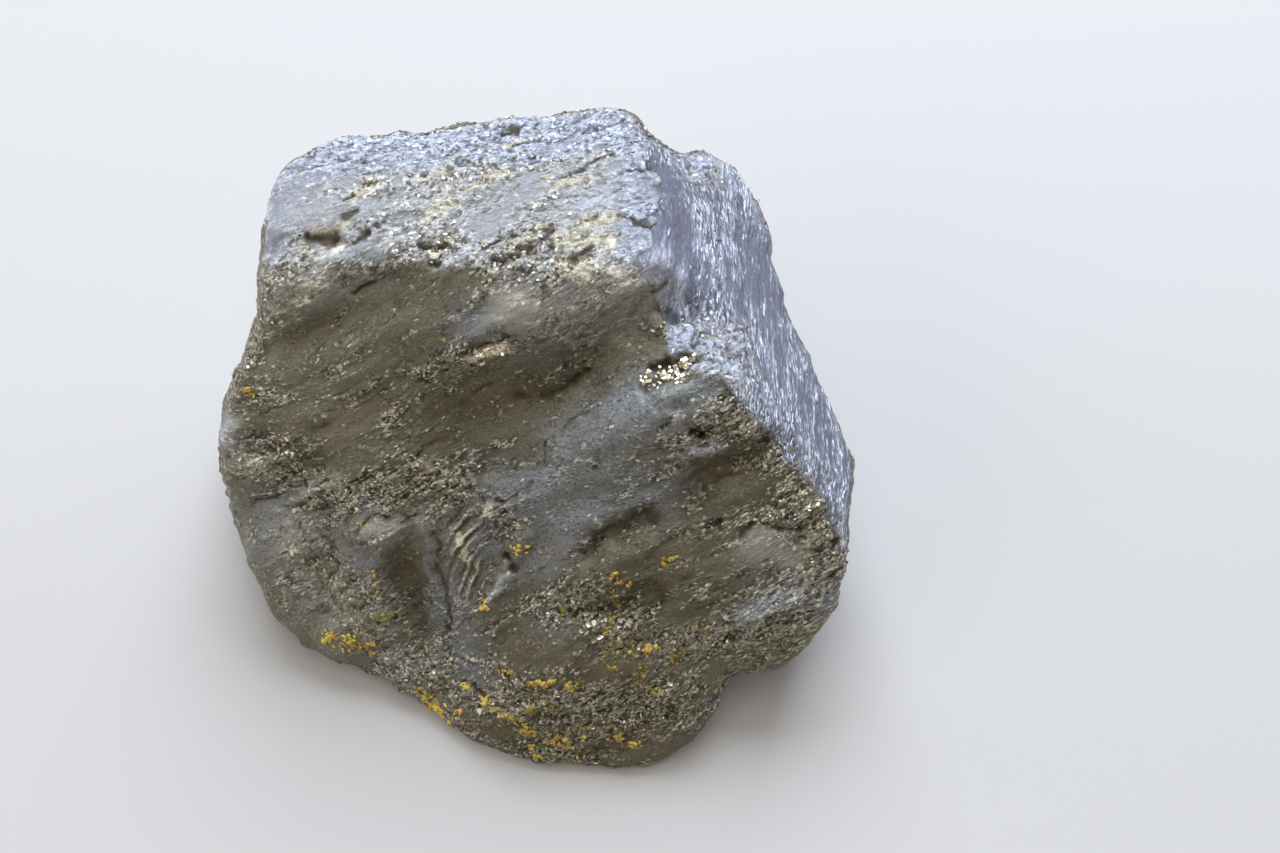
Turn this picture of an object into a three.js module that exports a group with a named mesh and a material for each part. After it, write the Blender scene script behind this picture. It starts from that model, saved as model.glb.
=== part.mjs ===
// A hand specimen of massive graphite: one broken lump with a level top, a long front slope,
// a striated right flank and a toe that bulges forward beside a lower lobe.
// Millimetres, +Z up, +X to the right, -Y to the front. The origin is under the middle of the
// lump, on the level face that it rests on.
import * as THREE from "three";
import { ImprovedNoise } from "three/addons/math/ImprovedNoise.js";
import { mergeVertices } from "three/addons/utils/BufferGeometryUtils.js";

// Driving dimension. The lengths below are very nearly hundredths of it.
const WIDTH = 100;

// Flat partings that the lump broke along. azimuth is the way each one faces, in degrees
// from +X towards +Y; rise is how far it faces above the horizon; reach is how far it lies
// from the middle of the lump.
const OUTER_PARTINGS = [
  { name: "top", azimuth: 95, rise: 84, reach: 31 },
  { name: "striated flank", azimuth: 0, rise: 50, reach: 34 },
  { name: "left wall", azimuth: 178, rise: 19, reach: 46.5 },
  { name: "left undercut", azimuth: 186, rise: -32, reach: 51 },
  { name: "back left", azimuth: 130, rise: 4, reach: 52 },
  { name: "back", azimuth: 98, rise: -2, reach: 43.5 },
  { name: "back undercut", azimuth: 100, rise: -38, reach: 42 },
  { name: "back right", azimuth: 48, rise: 0, reach: 51 },
  { name: "right wall", azimuth: 20, rise: 2, reach: 44.5 },
  { name: "right back undercut", azimuth: 20, rise: -36, reach: 46 },
  { name: "right cheek", azimuth: 352, rise: -3, reach: 50 },
  { name: "right undercut", azimuth: 326, rise: -34, reach: 50 },
  { name: "front right", azimuth: 318, rise: 0, reach: 54 },
];
const BODY_FRONT = [
  { name: "front slope", azimuth: 262, rise: 40, reach: 11 },
  { name: "left lobe", azimuth: 250, rise: 20, reach: 27 },
  { name: "left shoulder", azimuth: 226, rise: 8, reach: 42 },
  { name: "left cheek", azimuth: 203, rise: 6, reach: 46.5 },
  { name: "body undercut", azimuth: 240, rise: -48, reach: 45 },
];
const TOE_FRONT = [
  { name: "bank", azimuth: 231, rise: 50, reach: 7 },
  { name: "shelf", azimuth: 276, rise: 46, reach: 15.5 },
  { name: "lower shelf", azimuth: 268, rise: 30, reach: 24 },
  { name: "toe", azimuth: 267, rise: 10, reach: 46 },
  { name: "toe left", azimuth: 202, rise: 14, reach: 20.5 },
  { name: "toe left corner", azimuth: 242, rise: 8, reach: 36 },
  { name: "toe right corner", azimuth: 300, rise: 4, reach: 47 },
  { name: "toe undercut", azimuth: 268, rise: -50, reach: 51 },
];
const BASE_DEPTH = 29; // from the middle of the lump down to its resting face
const EDGE_ROUNDING = 2.5; // how far from an outer edge the wear begins
const FOLD_ROUNDING = 4; // how softly the toe runs into the body

// Hollows and swells on the side that faces forward and up. They are laid out on the plane
// square to SEEN_FROM: right of and above the middle of the lump.
const SEEN_FROM = { azimuth: 270, rise: 60 };
const RELIEF = [
  { name: "left brow hollow", path: [[-42, 18], [-30, 22], [-17, 25]], reach: 7, rise: -1.5 },
  { name: "right brow hollow", path: [[-10, 4], [8, 12], [21, 16]], reach: 7, rise: -3 },
  { name: "right pocket", path: [[22, -6], [36, -2]], reach: 6, rise: -1.5 },
  { name: "left knuckle", path: [[-28, -13], [-26, -27]], reach: 5, rise: 1.5 },
  { name: "toe notch", path: [[41, -50], [35, -43], [32, -39]], reach: 4.5, rise: -4 },
  { name: "saddle", path: [[19, 54], [24, 44]], reach: 4.5, rise: -3 },
];
const BROAD_UNEVENNESS = { spacing: 23, height: 1.2 };
const SMALL_UNEVENNESS = { spacing: 9, height: 0.7 };

const RAY_START = new THREE.Vector3(0, 8, -12); // all of the surface is in sight of it
const FARTHEST = 90;
const HALVINGS = 26;
const MESH_DETAIL = 20;
const EVENING_PASSES = 40;

const radians = THREE.MathUtils.degToRad;

function facing({ azimuth, rise }) {
  const level = Math.cos(radians(rise));
  return new THREE.Vector3(
    level * Math.cos(radians(azimuth)),
    level * Math.sin(radians(azimuth)),
    Math.sin(radians(rise)),
  );
}

function planesOf(partings) {
  return partings.map((parting) => ({ normal: facing(parting), reach: parting.reach }));
}

const outerPlanes = planesOf(OUTER_PARTINGS);
const bodyPlanes = planesOf(BODY_FRONT);
const toePlanes = planesOf(TOE_FRONT);
const seenFrom = facing(SEEN_FROM);
const seenRight = new THREE.Vector3(0, 0, 1).cross(seenFrom).normalize();
const seenUp = seenFrom.clone().cross(seenRight);
const reliefStrokes = RELIEF.map((stroke) => ({
  ...stroke,
  path: stroke.path.map(([right, up]) => new THREE.Vector2(right, up)),
}));

// The larger of two distances, rounded where they are nearly alike.
function roundedMax(a, b, rounding) {
  const near = Math.max(rounding - Math.abs(a - b), 0) / rounding;
  return Math.max(a, b) + (near * near * rounding) / 4;
}

// How far a point is outside a set of partings.
function past(point, planes) {
  return planes
    .map((plane) => plane.normal.dot(point) - plane.reach)
    .reduce((a, b) => roundedMax(a, b, EDGE_ROUNDING));
}

function distanceToPath(point, path) {
  let nearest = Infinity;
  for (let i = 1; i < path.length; i++) {
    const along = path[i].clone().sub(path[i - 1]);
    const share = point.clone().sub(path[i - 1]).dot(along) / along.lengthSq();
    const foot = path[i - 1].clone().addScaledVector(along, THREE.MathUtils.clamp(share, 0, 1));
    nearest = Math.min(nearest, foot.distanceTo(point));
  }
  return nearest;
}

// The height of the hollows and swells. They fade out around the back of the lump.
function relief(point) {
  const turned = THREE.MathUtils.smoothstep(point.dot(seenFrom), -18, 4);
  if (turned === 0) return 0;
  const place = new THREE.Vector2(point.dot(seenRight), point.dot(seenUp));
  let height = 0;
  for (const stroke of reliefStrokes) {
    const away = distanceToPath(place, stroke.path) / stroke.reach;
    height += stroke.rise * Math.exp(-away * away);
  }
  return height * turned;
}

const noise = new ImprovedNoise();

function unevenness(point, { spacing, height }) {
  return height * noise.noise(point.x / spacing, point.y / spacing + 3, point.z / spacing);
}

// Below zero inside the lump and above zero outside it.
function outside(point) {
  const front = -roundedMax(-past(point, bodyPlanes), -past(point, toePlanes), FOLD_ROUNDING);
  const broken = roundedMax(past(point, outerPlanes), front, EDGE_ROUNDING);
  const wear = unevenness(point, BROAD_UNEVENNESS) + unevenness(point, SMALL_UNEVENNESS);
  return Math.max(broken - relief(point) - wear, -point.z - BASE_DEPTH);
}

// Where a ray in this direction leaves the lump.
function surfacePoint(direction) {
  let near = 0;
  let far = FARTHEST;
  const point = new THREE.Vector3();
  for (let step = 0; step < HALVINGS; step++) {
    const middle = (near + far) / 2;
    point.copy(RAY_START).addScaledVector(direction, middle);
    if (outside(point) < 0) near = middle;
    else far = middle;
  }
  if (point.z < -BASE_DEPTH + 0.01) point.z = -BASE_DEPTH;
  return point;
}

function neighboursOf(index, count) {
  const neighbours = Array.from({ length: count }, () => new Set());
  for (let i = 0; i < index.count; i += 3) {
    const [a, b, c] = [index.getX(i), index.getX(i + 1), index.getX(i + 2)];
    neighbours[a].add(b).add(c);
    neighbours[b].add(a).add(c);
    neighbours[c].add(a).add(b);
  }
  return neighbours.map((set) => [...set]);
}

// A sphere's triangles drawn out onto the lump, then evened out along its surface.
function lumpGeometry() {
  const sphere = new THREE.IcosahedronGeometry(1, MESH_DETAIL);
  sphere.deleteAttribute("normal");
  sphere.deleteAttribute("uv");
  const geometry = mergeVertices(sphere, 1e-4);
  const position = geometry.getAttribute("position");
  const neighbours = neighboursOf(geometry.index, position.count);
  let points = neighbours.map((_, i) =>
    surfacePoint(new THREE.Vector3().fromBufferAttribute(position, i).normalize()),
  );
  for (let pass = 0; pass < EVENING_PASSES; pass++) {
    points = points.map((point, i) => {
      const mean = neighbours[i].reduce((sum, n) => sum.add(points[n]), new THREE.Vector3());
      mean.divideScalar(neighbours[i].length).lerp(point, 0.3);
      return surfacePoint(mean.sub(RAY_START).normalize());
    });
  }
  points.forEach((point, i) => position.setXYZ(i, point.x, point.y, point.z));
  return geometry;
}

// Scaled to WIDTH, with the origin under the middle and on the resting face.
function placed(geometry) {
  geometry.computeBoundingBox();
  const middle = geometry.boundingBox.getCenter(new THREE.Vector3());
  const size = geometry.boundingBox.getSize(new THREE.Vector3());
  const scale = WIDTH / size.x;
  geometry.translate(-middle.x, -middle.y, BASE_DEPTH);
  geometry.scale(scale, scale, scale);
  geometry.computeVertexNormals();
  return geometry;
}

const graphite = new THREE.MeshStandardMaterial({
  color: new THREE.Color(0.2, 0.2, 0.19),
  roughness: 0.5,
  metalness: 0.6,
  flatShading: true,
});
const lump = new THREE.Mesh(placed(lumpGeometry()), graphite);
lump.name = "graphite_lump";

const specimen = new THREE.Group();
specimen.add(lump);

export default specimen;
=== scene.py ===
"""The looks of a hand specimen of graphite.

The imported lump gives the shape. A copy of it is meshed finely and worked like the broken stone:
flow folds, chips, grains, striations and pits. Flakes, pale crystals and ochre crust grow on it.
Lengths are millimetres, and become metres where a mesh or a light is made.
"""
import math

import bmesh
import bpy
import numpy as np
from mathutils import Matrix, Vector, noise


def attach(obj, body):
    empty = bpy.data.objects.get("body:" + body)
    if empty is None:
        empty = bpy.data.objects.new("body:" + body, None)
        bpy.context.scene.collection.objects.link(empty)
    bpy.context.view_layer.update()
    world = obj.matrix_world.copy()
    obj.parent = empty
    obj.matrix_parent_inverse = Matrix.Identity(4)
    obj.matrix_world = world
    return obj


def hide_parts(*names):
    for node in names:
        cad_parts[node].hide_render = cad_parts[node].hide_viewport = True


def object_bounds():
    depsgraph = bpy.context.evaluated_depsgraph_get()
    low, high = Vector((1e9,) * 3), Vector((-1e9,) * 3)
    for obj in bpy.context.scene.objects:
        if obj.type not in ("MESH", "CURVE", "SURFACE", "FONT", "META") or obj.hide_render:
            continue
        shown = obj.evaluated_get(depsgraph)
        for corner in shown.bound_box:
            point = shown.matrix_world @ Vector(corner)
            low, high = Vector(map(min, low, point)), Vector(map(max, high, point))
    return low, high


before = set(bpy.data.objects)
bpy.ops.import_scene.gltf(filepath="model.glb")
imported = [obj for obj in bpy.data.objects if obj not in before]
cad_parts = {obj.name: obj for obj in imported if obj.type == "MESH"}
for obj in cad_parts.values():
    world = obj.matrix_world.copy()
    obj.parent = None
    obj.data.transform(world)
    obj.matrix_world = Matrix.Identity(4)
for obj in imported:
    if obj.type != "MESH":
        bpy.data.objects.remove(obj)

MM = 0.001
CAD_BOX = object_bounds()
NODE = "graphite_lump"
MIDDLE = (np.array(CAD_BOX[0]) + np.array(CAD_BOX[1])) / 2 / MM

# ---------------------------------------------------------------- directions and places


def facing(azimuth, rise):
    """The unit vector that faces azimuth degrees from +X and rise degrees above the horizon."""
    level = math.cos(math.radians(rise))
    turn = math.radians(azimuth)
    return np.array([level * math.cos(turn), level * math.sin(turn), math.sin(math.radians(rise))])


# SEEN faces the camera. A place on the lump is (right, up) on the plane square to it.
SEEN_RISE = 60
SEEN = facing(270, SEEN_RISE)
SEEN_RIGHT = np.array([1.0, 0.0, 0.0])
SEEN_UP = np.cross(SEEN, SEEN_RIGHT)
TOP = facing(95, 84)
FLANK = facing(0, 50)
FLOW_SLOPE = 27  # degrees that the flow bands climb to the right


def seen_places(points):
    """The places of points, in millimetres from MIDDLE."""
    offset = points - MIDDLE
    return np.stack([offset @ SEEN_RIGHT, offset @ SEEN_UP], axis=1)


def smoothstep(low, high, value):
    t = np.clip((value - low) / (high - low), 0, 1)
    return t * t * (3 - 2 * t)


def field(points, spacing, octaves=1, shift=0.0):
    """Smooth noise of about -1 to 1, with lumps about spacing millimetres across.

    Each shift gives a pattern of its own.
    """
    scaled = (points / spacing + shift).tolist()
    return np.array([noise.fractal(p, 1.0, 2.0, octaves) for p in scaled])


def chips(points, spacing, shift=0.0):
    """Flat chips about spacing millimetres across, each tilted its own way."""
    heights = []
    for p in (points / spacing + shift).tolist():
        centre = noise.voronoi(p)[1][0]
        tilt = noise.cell_vector(centre * 91.7)
        heights.append(tilt.dot(Vector(p) - centre))
    return np.array(heights)


def distance_to_path(places, path):
    nearest = np.full(len(places), np.inf)
    path = np.array(path, float)
    if len(path) == 1:
        return np.linalg.norm(places - path[0], axis=1)
    for start, end in zip(path[:-1], path[1:]):
        along = end - start
        share = np.clip((places - start) @ along / (along @ along), 0, 1)
        foot = start + share[:, None] * along
        nearest = np.minimum(nearest, np.linalg.norm(places - foot, axis=1))
    return nearest


def near(places, path, reach):
    """1 on the path, fading to nothing a little beyond reach millimetres from it."""
    return np.exp(-((distance_to_path(places, path) / reach) ** 2))


# ---------------------------------------------------------------- what the stone shows

# Where the brow is worn round: path and reach.
WORN = [
    ([(3, 22), (18, 20)], 5),
    ([(-38, 23), (-25, 22)], 5),
]
# Folds, furrows and holes: name, path, how far they reach, and how high they stand.
RELIEF = [
    ("brow lip", [(-21, 24), (-14, 24), (-10, 23), (-4, 26), (1, 24)], 1.3, 0.6),
    ("left shoulder", [(-36, 22), (-29, 21), (-24, 24)], 2.6, 0.9),
    ("left hollow", [(-37, 12), (-30, 15), (-24, 19), (-19, 21)], 3.4, -1.4),
    ("grey swell", [(1, 18), (6, 17), (11, 20)], 4.0, 1.3),
    ("swell edge", [(-4, 15), (3, 15), (8, 12)], 1.5, 0.5),
    ("right hollow", [(9, 9), (13, 13), (19, 17), (25, 17)], 3.0, -1.9),
    ("tan clump", [(21, 15), (24, 14)], 1.6, 1.1),
    ("flank ridge", [(22, 43), (22, 30), (21, 20), (28, 15), (32, 7), (39, 0), (48, -8)], 1.3, 0.4),
    ("vug", [(19, 6), (22, 8), (26, 11)], 1.4, -1.9),
    ("vug lip", [(21, 5), (24, 5), (28, 8)], 1.2, 0.25),
    ("lens scar", [(-5.5, 11.6), (-1.5, 13)], 1.1, -1.3),
    ("shelf swell", [(-6, -16), (0, -10), (7, -4), (14, 1), (20, 5)], 4.5, 1.3),
    ("socket rim", [(24, -4), (29, -2)], 1.0, 0.6),
    ("right dimple", [(28, -7), (33, -5), (37, -2)], 2.0, -1.5),
    ("knuckle", [(-20.5, -15.5)], 3.2, 1.3),
    ("lobe hollow", [(-17, -16), (-18, -21), (-17, -30)], 2.3, -1.6),
    ("lilac rib", [(-14, -13), (-13, -24), (-15, -34)], 1.2, 0.3),
    ("gully", [(-13, -15), (-12.5, -20), (-12, -25), (-11.5, -34)], 1.1, -0.4),
    ("lobe fold", [(-30, -12), (-29, -20), (-31, -28)], 1.5, -0.8),
    ("lobe edge", [(-36, -12), (-34, -20), (-36, -26)], 1.6, 0.6),
    ("fibre pocket", [(-9, -13), (-6, -16), (-7, -23)], 2.8, -1.0),
    ("blue rib", [(-5, -26), (-3, -22), (1, -16)], 1.3, 0.8),
    ("left dimple", [(10, -18), (14, -15), (19, -13)], 1.8, -1.7),
    ("dimple rib", [(8, -23), (13, -20), (19, -16)], 1.8, 0.8),
    ("low dimple", [(12, -27), (20, -24)], 2.2, -1.2),
    ("left boss", [(-43, 0)], 2.8, 1.0),
    ("blue boss", [(-21, 31)], 1.6, 1.0),
    ("lamella", [(6, 35.5), (11, 37.5)], 0.8, 0.5),
    ("cream swell", [(8, 27), (13, 29)], 2.5, 0.8),
]
# Where the outline dips and swells, written in the same way.
OUTLINE = [
    ("back nick", [(20.5, 47), (24.5, 45.2)], 2.6, -2.2),
    ("flank bulge", [(32, 40.5), (34, 37), (36.8, 30)], 2.4, 1.5),
    ("flank waist", [(41.5, 19), (43, 15)], 2.2, -1.0),
    ("left waist", [(-43.5, 21), (-45.6, 16), (-45.6, 11)], 2.8, -1.1),
]
# Creases and nooks, which the material darkens with painted shade: path and reach. Each is about as deep
# as it reaches.
CREASES = [
    ([(-30, 27.5), (-26, 28)], 0.9),
    ([(-24.5, 31), (-23, 31.5)], 0.8),
    ([(-25, 33.5), (-21, 36.5)], 0.5),
    ([(-23, 27), (-20, 29.5)], 0.55),
    ([(-16, 37.5), (-14, 38)], 0.5),
    ([(-13.5, 26), (-10, 27)], 0.7),
    ([(-12.5, 24), (-11, 23.5)], 0.8),
    ([(-9, 26), (-7, 27.5)], 0.7),
    ([(-4.5, 26), (0, 28.5)], 0.6),
    ([(-2, 24.5), (2, 25.5), (5, 29)], 1.0),
    ([(-3, 45.7), (-1, 46)], 0.7),
    ([(-1, 43), (2.5, 44)], 0.5),
    ([(5.5, 37), (10, 39.5), (14, 41)], 0.45),
    ([(4.5, 35), (10, 37.5), (13, 38.5)], 0.25),
    ([(5, 33.2), (11, 35.6)], 0.25),
    ([(7, 23.5), (11, 26)], 0.5),
    ([(16, 38), (18.5, 39.5)], 0.7),
    ([(17, 30), (19, 30)], 0.7),
    ([(19.5, 20), (21.5, 21.5)], 0.45),
    ([(-25, 19), (-21, 21)], 0.5),
    ([(-15.5, -4), (-14, -2), (-10, 0)], 0.4),
    ([(-8, 4), (-4, 6.5)], 0.4),
    ([(0, 5), (4, 5.3), (10, 8.3)], 0.6),
    ([(4, -4.5), (5, -1), (7, 1), (11, 3)], 0.35),
    ([(-5, -10), (-1, -10), (2, -7)], 0.4),
    ([(19, 9), (23, 10), (26, 12)], 0.8),
    ([(25, 0), (28, -1)], 0.7),
    ([(-24, -15), (-21.5, -12.4), (-18, -11.9), (-15, -14.5)], 0.38),
    ([(-13, -15), (-12.5, -20), (-12, -25), (-11.5, -31)], 0.45),
    ([(-2, -18.5), (-1, -20.5)], 0.75),
    ([(6, -27), (9, -27)], 0.8),
    ([(31.8, -15.2), (35.4, -13.4), (41, -14)], 0.5),
    ([(-7.5, -39), (-6, -40.2)], 0.5),
    ([(-41, -11), (-37, -10)], 0.4),
    ([(-33, -8), (-32, -10)], 0.3),
]
# Patches, each a path and its reach. First those that are smooth, broken into grains or fibrous.
SATIN = [
    ([(-35, 13), (-24, 18), (-14, 21), (-6, 22)], 2.9),
    ([(-8, 15), (0, 19)], 2.5),
    ([(-1, 8), (10, 11), (15, 13)], 3.5),
    ([(-10, 0), (2, 4)], 3.5),
    ([(-1, -8), (6, -3), (13, 0), (20, 5)], 3),
    ([(25, 4), (29, 9)], 2.4),
    ([(3, -16), (8, -10)], 3),
    ([(18, -20), (22, -23)], 2.5),
    ([(0, -33), (10, -34)], 3),
    ([(-8, -30), (-7, -37)], 2.5),
    ([(-6, -13), (-8, -17), (-9, -22)], 2.5),
    ([(-33, 34), (-27, 38)], 4),
    ([(-34, 27)], 2),
    ([(-18, 36)], 2),
    ([(-4, 30), (2, 36)], 2.5),
    ([(4, 42), (10, 43)], 2),
    ([(36, -17), (41, -19)], 1.3),
]
GRANULAR = [
    ([(-42, 8), (-38, 20), (-30, 22), (-24, 24)], 3.5),
    ([(-13, 8), (-8, 15), (-3, 20)], 1.6),
    ([(-12, 26), (2, 22), (12, 22)], 3.5),
    ([(3, 18), (9, 13)], 3),
    ([(20, 15), (24, 14)], 2),
    ([(-40, -4), (-30, -10), (-14, -7), (-4, -12)], 4),
    ([(31, 14), (33, 4), (40, -6), (44, -22), (34, -32)], 6),
    ([(24, 16), (28, 13), (32, 8), (36, 1), (42, -6)], 3),
    ([(-10, -40), (6, -46), (24, -40)], 6),
    ([(4, -28), (26, -32)], 4),
    ([(-38, 44), (20, 46)], 5),
    ([(-22, -36), (-14, -44), (-4, -50), (8, -52)], 4),
    ([(-34, -16), (-28, -24), (-24, -32)], 5),
    ([(24, 43), (31, 41), (36, 36)], 3),
    ([(28, 36), (30, 28)], 3),
]
FIBRES = [([(-8, -14), (-8.5, -18), (-8.5, -23)], 2.7)]
# Then patches of colour: brown painted shade, blue-grey painted sheen, lilac painted highlights, ashen,
# cream, and stained with ochre.
# Painted shade: brown in the hollows and on the low parts that face down.
SHADE_PATCHES = [
    ([(-34, 12), (-28, 16), (-22, 20)], 1.6),
    ([(0, 5), (9, 9), (14, 13), (19, 17), (27, 16)], 3.2),
    ([(-22, 4), (-18, 5)], 3),
    ([(28, -7), (37, -2)], 2.2),
    ([(-17, -16), (-18, -21), (-17, -30)], 2.4),
    ([(10, -18), (14, -15), (19, -13)], 2),
    ([(12, -27), (20, -24)], 2.6),
    ([(-35, -4), (-30, -1)], 2.5),
    ([(-12, 1), (-4, 4)], 3),
    ([(-8, -4), (2, -2)], 2.2),
    ([(13, -27), (25, -26)], 3.5),
    ([(25, -10), (38, -11)], 3),
    ([(-2, -33), (22, -42)], 5),
    ([(-6, -45), (24, -45)], 5),
    ([(2, -24), (10, -22), (36, -24)], 4),
]
# Painted sheen: blue-grey where the satin catches the light from above.
BLUE_SHEEN_PATCHES = [
    ([(-6, -16), (0, -10), (8, -3), (14, 1), (20, 5)], 6),
    ([(6, -14), (16, -8), (24, -8)], 4),
    ([(25, 4), (29, 9)], 3),
    ([(2, 20), (8, 16)], 5),
    ([(-6, 16), (0, 14)], 3),
    ([(-22, -12), (-20, -15)], 3),
    ([(-14, -12), (-13, -30)], 0.9),
    ([(-11, -25), (-8, -38)], 4.5),
    ([(2, -20), (6, -27)], 4),
    ([(-24, -20), (-22, -30)], 4),
    ([(-36, -14), (-26, -26)], 7),
    ([(38, -22), (44, -24)], 4),
    ([(-30, 22), (-20, 24)], 3),
    ([(-22, -36), (-12, -45), (-4, -50)], 3.5),
]
# Painted highlights: lilac-blue where edges and bosses catch the light.
LILAC_HIGHLIGHTS = [
    ([(9, 33), (14, 34)], 1.2),
    ([(-28, 25.5), (-23, 25.5)], 0.8),
    ([(12, 24), (21, 25)], 1.2),
    ([(0, 22.5), (4, 22.5)], 0.7),
    ([(-11, 23), (-7, 25)], 0.7),
    ([(-22, 31)], 1.4),
    ([(24, -2.4), (29, -2.4)], 0.7),
    ([(20, 3), (24, 2)], 0.5),
    ([(20.5, 19.5), (25, 18)], 0.7),
    ([(23.7, 23.2), (24.6, 20)], 1.0),
    ([(-4.5, -25.5), (-3, -22), (-1, -21)], 0.5),
    ([(-43.5, 0)], 1.6),
    ([(-22, -35), (-20, -34.5)], 0.8),
    ([(26, 42.5), (32, 41), (36, 36)], 1.6),
    ([(33.5, -27.2), (37, -25.5), (40.3, -23.7)], 1.5),
]
ASHEN = [
    ([(-36, 20), (-24, 22)], 3),
    ([(1, 18), (9, 15), (18, 20)], 4),
    ([(35, -16.5), (41, -17)], 2.6),
    ([(39, -18), (41, -21)], 2.2),
    ([(-33, -9), (-28, -7)], 1.2),
    ([(-42, -3), (-38, -5)], 2),
    ([(-22, -14), (-16, -14)], 2.2),
    ([(-34, -16), (-28, -28)], 4.5),
]
WARM = [
    ([(-24, 34), (-21, 36)], 1.3),
    ([(-31, 26), (-28.5, 25.4), (-24.5, 26.4)], 0.7),
    ([(-29, 28.8), (-24, 29.4)], 0.9),
    ([(-14, 37.5), (-11, 38)], 1.0),
    ([(-8, 35.3), (-1.8, 38.6)], 1.2),
    ([(4, 37)], 0.8),
    ([(-3, 43), (1, 44)], 0.6),
    ([(6, 35.5), (10, 37)], 1.2),
    ([(9, 29), (14, 30)], 1.5),
    ([(7, 27), (14, 26)], 1.9),
    ([(9, 23.8), (14.4, 22.8)], 1.4),
    ([(6, 24), (10, 22)], 1.4),
    ([(-0.5, 25.5), (2, 27.5), (4.5, 29.5)], 1.1),
    ([(-2, 23.5), (0, 24.5)], 0.8),
    ([(-13, 31), (-9.5, 33)], 1.6),
    ([(-12, 25.5), (-9.5, 27.5)], 1.1),
    ([(-6, 10.6), (-1, 12.2)], 0.9),
    ([(-6, -12), (-4, -11)], 0.4),
    ([(-9.5, -15), (-8.5, -19)], 1.0),
    ([(-32, -9)], 0.8),
    ([(-29, -6)], 0.4),
    ([(-32, 18.5), (-30, 19)], 0.6),
    ([(12, -14)], 0.9),
    ([(8, -28.5)], 0.6),
    ([(-40, -4)], 1.0),
]
STAIN = [
    ([(19, 6), (22, 8), (26, 11)], 1.5),
    ([(-25, -13), (-22, -12)], 0.7),
    ([(-30, 28), (-22, 31)], 1.4),
    ([(-41, 6)], 2.6),
    ([(-18, -20), (-18, -32)], 2.0),
    ([(-34, -3), (-24, 0)], 3),
    ([(-30, -33), (-22, -34)], 2.6),
    ([(-15, -42), (-8, -44)], 2.6),
    ([(-4, -45), (10, -47), (18, -46)], 4),
    ([(10, -31), (22, -35)], 4.5),
    ([(28, -6), (36, -3)], 2.2),
]
# Where ochre crust grows: path, reach, grains, and tone from 0 yellow over 0.5 orange to 1 olive.
CRUST = [
    ([(-30.5, -32.2), (-27.2, -33)], 0.8, 90, 0.15),
    ([(-26.8, -33), (-24, -33.5)], 0.7, 60, 0.5),
    ([(-16, -41.2), (-14.5, -43)], 1.1, 90, 0.15),
    ([(-14, -43.5), (-12.4, -45)], 0.9, 90, 0.0),
    ([(-9.7, -43.3)], 0.6, 18, 0.1),
    ([(-8.8, -39.2)], 0.5, 12, 0.35),
    ([(-5.6, -41.2), (-5, -42.3)], 0.5, 26, 0.15),
    ([(-3.3, -36), (-1.6, -36.5)], 0.5, 18, 0.75),
    ([(1.4, -38), (5.6, -37.8)], 0.35, 44, 0.5),
    ([(6.6, -38.4), (9.4, -38.2)], 0.5, 34, 0.5),
    ([(-3, -43.2), (-1, -44.5), (1.1, -46)], 0.7, 120, 0.25),
    ([(0.8, -42), (3.4, -41), (4.6, -43)], 0.6, 50, 0.8),
    ([(1, -48.7), (2.6, -50.7)], 0.5, 36, 0.2),
    ([(4, -47.3), (6.7, -48.2)], 0.8, 60, 0.3),
    ([(8.2, -51)], 0.7, 16, 0.7),
    ([(8.3, -45.5), (11.4, -44.8)], 0.6, 16, 0.6),
    ([(13.5, -46.6), (15, -47.3), (17.7, -48.4)], 0.6, 60, 0.35),
    ([(18.8, -35), (17.3, -37.6), (20.3, -39)], 0.9, 50, 0.75),
    ([(19.7, -32.3)], 0.6, 26, 0.3),
    ([(22.4, -34.4), (24.2, -33)], 0.7, 20, 0.7),
    ([(13.5, -29.5), (16, -31.5), (13.4, -33.6)], 1.5, 90, 0.9),
    ([(27, -29), (28, -31)], 1.0, 12, 0.9),
    ([(14.4, -24.5), (14.6, -26.4)], 0.5, 14, 0.75),
    ([(13.9, -21.6), (15.8, -22.8)], 0.4, 16, 0.35),
    ([(6.5, -27), (8.5, -28)], 0.8, 18, 0.8),
    ([(22, -18.9)], 0.7, 16, 0.6),
    ([(-0.4, -17.2), (0.9, -17.4)], 0.5, 20, 0.1),
    ([(-5.6, -26), (-5.3, -27.4)], 0.4, 14, 0.1),
    ([(-23, -28.8), (-20.8, -28.5)], 0.8, 20, 0.85),
    ([(-23, -14), (-22.5, -25.5)], 0.5, 16, 0.4),
    ([(-39.9, 5.8)], 0.9, 18, 0.6),
    ([(-10, 13)], 0.3, 6, 0.1),
]
# Where pale crystals grow: path, reach and number.
CRYSTALS = [
    ([(19, 7), (21, 8), (23, 8)], 0.8, 36),
    ([(22, 8), (26, 11)], 0.5, 44),
    ([(-5.5, 10.9), (-1.5, 12.3)], 0.5, 110),
    ([(-22, 36)], 1.4, 16),
]


# How far apart these are, or how wide, in millimetres.
FOLD_SPACING = 6.5
FINE_FOLD_SPACING = 2.6
BED_SPACING = 6.0
STRIATION_SPACING = 0.9
CHIP_WIDTH = 2.4
HIDDEN_CHIP_WIDTH = 6.0
GRAIN_WIDTH = 2.0
LUMP_SPACING = 4.5
FIBRE_SPACING = 0.6
FIBRE_CENTRE = (6.0, -28.0)  # the place that the fibres curve round


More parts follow.
